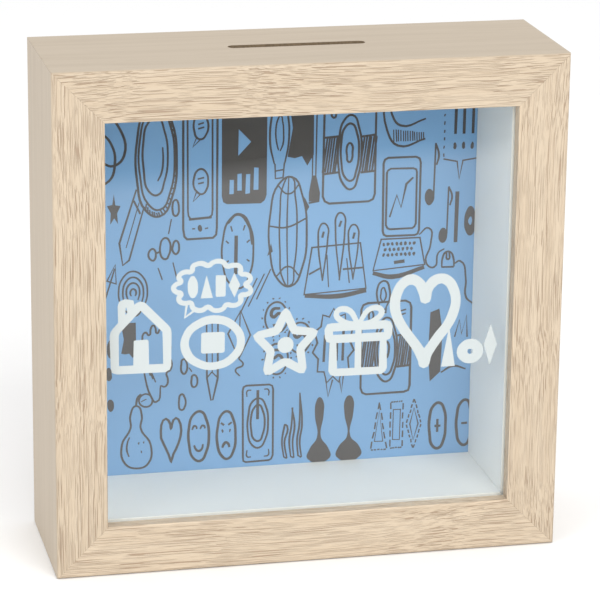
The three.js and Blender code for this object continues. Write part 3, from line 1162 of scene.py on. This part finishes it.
ICONS = (
    # icon: place of its middle, half its width and half its height, in millimetres, and what it is given
    (magnifier, 49.0, 151, 8.2, 23.5), (phone, 66.5, 148, 6.9, 30), (tile, 84.3, 154, 9.0, 22.5),
    (lamp_bulb, 98.5, 157, 4.3, 17), (banner, 107.0, 160, 5.2, 14), (plug, 112.7, 149, 2.3, 18),
    (camera_icon, 127.0, 151, 10.6, 21), (tape, 149.5, 162, 9.0, 13), (chart_note, 173.0, 160, 7.6, 15),
    (laptop, 148.5, 122.5, 10.6, 25), (music_note, 161.5, 140, 3.6, 13), (music_note, 167.5, 123, 3.4, 12),
    (pin_and_ball, 174.8, 121.5, 5.0, 11), (clock, 81.8, 112, 6.3, 15.5), (globe, 102.2, 119, 7.7, 23),
    (map_with_pins, 122.0, 108.5, 12.8, 17.5), (links, 52.0, 113, 8.5, 14), (shell, 39.5, 97, 5.8, 9.5),
    (mouse, 165.0, 104, 8.6, 11), (arrow, 30.5, 101, 3.2, 8), (blots, 30.0, 62, 1.6, 16),
    (banner, 37.5, 77, 3.0, 7), (tree, 48.0, 68, 7.0, 15), (bubbles, 62.0, 58, 5.0, 13),
    (pencil, 71.5, 67, 3.0, 17), (kite, 82.5, 74, 5.0, 13), (clover, 102.5, 74, 10.5, 19),
    (splash, 121.5, 70, 8.6, 16), (camera_icon, 143.5, 67.5, 10.4, 19), (lamp_bulb, 142.0, 89.5, 3.0, 7),
    (dark_box, 164.0, 68, 5.0, 15.5), (hook, 175.5, 94, 4.0, 9), (zigzag, 175.0, 75, 2.6, 5),
    (strokes_falling, 89.0, 95, 6.0, 9), (pear, 40.5, 36.5, 6.4, 13.0), (heart, 54.7, 34, 4.3, 10.5),
    (face, 66.0, 35, 4.2, 10.8, True), (face, 77.4, 34.8, 3.9, 10.4, False), (target, 90.4, 39, 6.2, 16.4),
    (reeds, 105.0, 37, 5.0, 14.0), (bell, 116.0, 35, 4.8, 13.4), (bell, 128.5, 35, 5.2, 13.4),
    (block_shape, 141.2, 34.5, 3.4, 10.4, ((-1, -1), (1, -1), (0, 1))),
    (block_shape, 148.6, 34.5, 2.6, 10.0, ((-1, -1), (1, -1), (1, 1), (-1, 1))),
    (block_shape, 155.9, 34.5, 3.2, 10.8, ((-1, 0), (0, -1), (1, 0), (0, 1))),
    (sign, 166.0, 33, 3.5, 10, True), (sign, 177.4, 33.5, 3.4, 10, False), (mitten, 29.5, 156, 7.0, 15),
    (shell, 23.8, 128, 3.0, 12), (heart, 23.5, 84, 3.0, 9), (sign, 23.5, 44, 2.9, 9, True),
)

for icon, x, z, half_width, half_height, *given in ICONS:
    ink.at(x, z, half_width, half_height)
    icon(*given)
ink.at(32.0, 131.0, 2.7, 6.8)
ink.shape(*star(0.45))

print_on_card = ink.piece(card_low.y - INK / 2)
print_on_card.data.materials.append(paint("grey_ink", GREY_INK, 0.6, speckle=0.08))
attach(print_on_card, "back")


# ---- Back board ----
# Brown fibreboard, cut with a saw and eased at its edges. It drops into the rabbet behind the card.

board_low, board_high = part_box("back_board")
BOARD_EASE = 0.0005
BOARD_BROWN = (0.35, 0.228, 0.130)
FIBRE_WIDTH = 0.00045
FIBRE_LENGTH = 0.0038
FIBRES = (
    # how each layer of fibres is turned, in radians, and its colour
    (0.5, (0.55, 0.40, 0.26)), (1.7, (0.22, 0.135, 0.075)), (2.6, (0.50, 0.36, 0.23)),
    (1.1, (0.24, 0.150, 0.085)), (0.0, (0.47, 0.33, 0.20)),
)


def fibreboard():
    """Pressed wood fibre: a warm brown, with short pale and dark fibres lying all ways."""
    material = paint("fibreboard", BOARD_BROWN, 0.6, speckle=0.07, bump=0.00006, scale=1500.0)
    tree = material.node_tree
    shader = tree.nodes["Principled BSDF"]
    base = shader.inputs["Base Color"].links[0].from_socket
    where = tree.nodes["Texture Coordinate"].outputs["Object"]
    for turn, tint in FIBRES:
        lie = {"Vector": where, "Rotation": (0, turn, 0), "Scale": (FIBRE_WIDTH, FIBRE_WIDTH, FIBRE_LENGTH)}
        laid = add_node(tree, "Mapping", lie, vector_type="TEXTURE").outputs[0]
        fibres = add_node(tree, "TexNoise", {"Vector": laid, "Scale": 1.0, "Detail": 1.0}).outputs["Fac"]
        limits = {"Value": fibres, "From Min": 0.60, "From Max": 0.72, "To Max": 0.50}
        thin = add_node(tree, "MapRange", limits)
        layer = {"Factor": thin.outputs["Result"], "A": base, "B": (*tint, 1)}
        base = add_node(tree, "Mix", layer, data_type="RGBA").outputs["Result"]
    feed(tree, shader.inputs, {"Base Color": base})
    return material


board = block("board", board_low, board_high)
ease(board, BOARD_EASE)
smooth(board)
board.data.materials.append(fibreboard())
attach(board, "back")
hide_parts("back_board")


# ---- Turn buttons ----
# Four flat steel buttons, stamped out and zinc plated. Each one turns on its screw at the middle of a rail's
# rear face: along the rail it lets the back out, and across the board it holds the back in.

button_low, button_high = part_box("turn_button_bottom")
BUTTON_EASE = 0.00025
HOLE_RADIUS = 0.0018
DIMPLE_RADIUS = 0.0060
DIMPLE_SINK = 0.0005
ZINC = (0.50, 0.515, 0.53)


def plated_steel(name, tint, roughness, streak=(300.0, 300.0, 300.0)):
    """Steel with a thin zinc coat: a cool metal with faint cloudy patches and fine rolling marks."""
    material, tree = new_material(name)
    where = add_node(tree, "TexCoord").outputs["Object"]
    clouds = add_node(tree, "TexNoise", {"Vector": where, "Scale": 260.0, "Detail": 3.0}).outputs["Fac"]
    cloudy = {"Factor": clouds, "A": (*[part * 0.70 for part in tint], 1), "B": (*tint, 1)}
    tone = add_node(tree, "Mix", cloudy, data_type="RGBA")
    uneven = {"Value": clouds, "To Min": roughness - 0.08, "To Max": roughness + 0.10}
    rough = add_node(tree, "MapRange", uneven)
    squeeze = add_node(tree, "VectorMath", {0: where, 1: streak}, operation="MULTIPLY")
    marks = add_node(tree, "TexNoise", {"Vector": squeeze.outputs[0], "Scale": 1.0, "Detail": 2.0})
    relief = add_node(tree, "Bump", {"Height": marks.outputs["Fac"], "Distance": 0.00004, "Strength": 0.4})
    finish = {
        "Base Color": tone.outputs["Result"],
        "Metallic": 1.0,
        "Roughness": rough.outputs["Result"],
        "Normal": relief.outputs[0],
    }
    feed(tree, tree.nodes["Principled BSDF"].inputs, finish)
    return material


width = button_high.z - button_low.z
pivot = Vector((0, (button_low.y + button_high.y) / 2, WALL / 2))
reach = button_high.x - width / 2
button = upright(pivot, width / 2, button_high.y - button_low.y)
pick(button, "VERT", lambda co: co.x > 1e-6)
bpy.ops.transform.translate(value=(reach, 0, 0))
bpy.ops.object.mode_set(mode="OBJECT")
cut_out(button, upright(pivot, HOLE_RADIUS, 2 * WALL))
bpy.ops.mesh.primitive_uv_sphere_add(
    segments=64,
    ring_count=32,
    radius=DIMPLE_RADIUS,
    location=(reach, button_high.y - DIMPLE_SINK + DIMPLE_RADIUS, WALL / 2),
)
dimple = bpy.context.object
settle()
cut_out(button, dimple)
ease(button, BUTTON_EASE, angle=60)
for side, turn in SIDES.items():
    finished = turned(button, f"button_{side}", turn)
    smooth(finished, 30)
    streak = (3000.0, 300.0, 200.0) if side in ("bottom", "top") else (200.0, 300.0, 3000.0)
    finished.data.materials.clear()
    finished.data.materials.append(plated_steel(f"zinc_{side}", ZINC, 0.34, streak))
    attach(finished, f"button_{side}")
    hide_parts(f"turn_button_{side}")
bpy.data.objects.remove(button)


# ---- Screws ----
# A pan head wood screw with a cross recess through each button. It stays still in the rail, and the button
# turns under its head.

screw_low, screw_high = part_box("turn_button_screw_bottom")
HEAD_HEIGHT = 0.002
HEAD_ROUND = 0.0013
SHANK_RADIUS = 0.0015
POINT_LENGTH = 0.003
CROSS_LENGTH = 0.0038
CROSS_WIDTH = 0.0008
CROSS_DEPTH = 0.0011
CROSS_ABOVE = 0.001
CROSS_TAPER = 0.6
SCREW_ZINC = (0.56, 0.56, 0.55)

head_radius = (screw_high.z - screw_low.z) / 2
seat = screw_high.y - HEAD_HEIGHT
screw = upright((0, seat + HEAD_HEIGHT / 2, WALL / 2), head_radius, HEAD_HEIGHT)
pick(screw, "EDGE", lambda a, b: near(a.y, screw_high.y) and near(b.y, screw_high.y))
bpy.ops.mesh.bevel(offset=HEAD_ROUND, offset_type="OFFSET", segments=8, affect="EDGES")
pick(screw, "FACE", lambda face: face.normal.y < -0.9)
bpy.ops.mesh.inset(thickness=head_radius - SHANK_RADIUS)
shank = seat - screw_low.y - POINT_LENGTH
bpy.ops.mesh.extrude_region_move(TRANSFORM_OT_translate={"value": (0, -shank, 0)})
bpy.ops.mesh.extrude_region_move(TRANSFORM_OT_translate={"value": (0, -POINT_LENGTH, 0)})
bpy.ops.mesh.merge(type="CENTER")
bpy.ops.object.mode_set(mode="OBJECT")
for across, up in ((CROSS_LENGTH, CROSS_WIDTH), (CROSS_WIDTH, CROSS_LENGTH)):
    tool = block(
        "cross",
        (-across / 2, screw_high.y - CROSS_DEPTH, (WALL - up) / 2),
        (across / 2, screw_high.y + CROSS_ABOVE, (WALL + up) / 2),
    )
    pick(tool, "FACE", lambda face: face.normal.y < -0.9)
    bpy.ops.transform.resize(value=(CROSS_TAPER, 1, CROSS_TAPER))
    bpy.ops.object.mode_set(mode="OBJECT")
    cut_out(screw, tool)
for side, turn in SIDES.items():
    finished = turned(screw, f"screw_{side}", turn)
    smooth(finished, 35)
    finished.data.materials.clear()
    finished.data.materials.append(plated_steel(f"screw_zinc_{side}", SCREW_ZINC, 0.28))
    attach(finished, "frame")
    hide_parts(f"turn_button_screw_{side}")
bpy.data.objects.remove(screw)


# ---- Corner nails ----
# Two V-shaped steel nails across each mitre, pressed in from the rear until they are just below the wood.

NAIL_EASE = 0.00012
NAIL_GREY = (0.33, 0.33, 0.33)
CORNERS = {"bottom_left": 0.0, "top_left": pi / 2, "top_right": pi, "bottom_right": -pi / 2}

for number, inset in enumerate(NAIL_INSETS, start=1):
    nail_low, nail_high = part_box(f"v_nail_bottom_left_{number}")
    nail = vee("nail", inset, 0.0, nail_high.y, nail_low.y)
    ease(nail, NAIL_EASE, angle=60)
    for corner, turn in CORNERS.items():
        finished = turned(nail, f"nail_{corner}_{number}", turn)
        smooth(finished, 30)
        finished.data.materials.append(plated_steel(f"nail_steel_{corner}_{number}", NAIL_GREY, 0.45))
        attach(finished, "frame")
        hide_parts(f"v_nail_{corner}_{number}")
    bpy.data.objects.remove(nail)
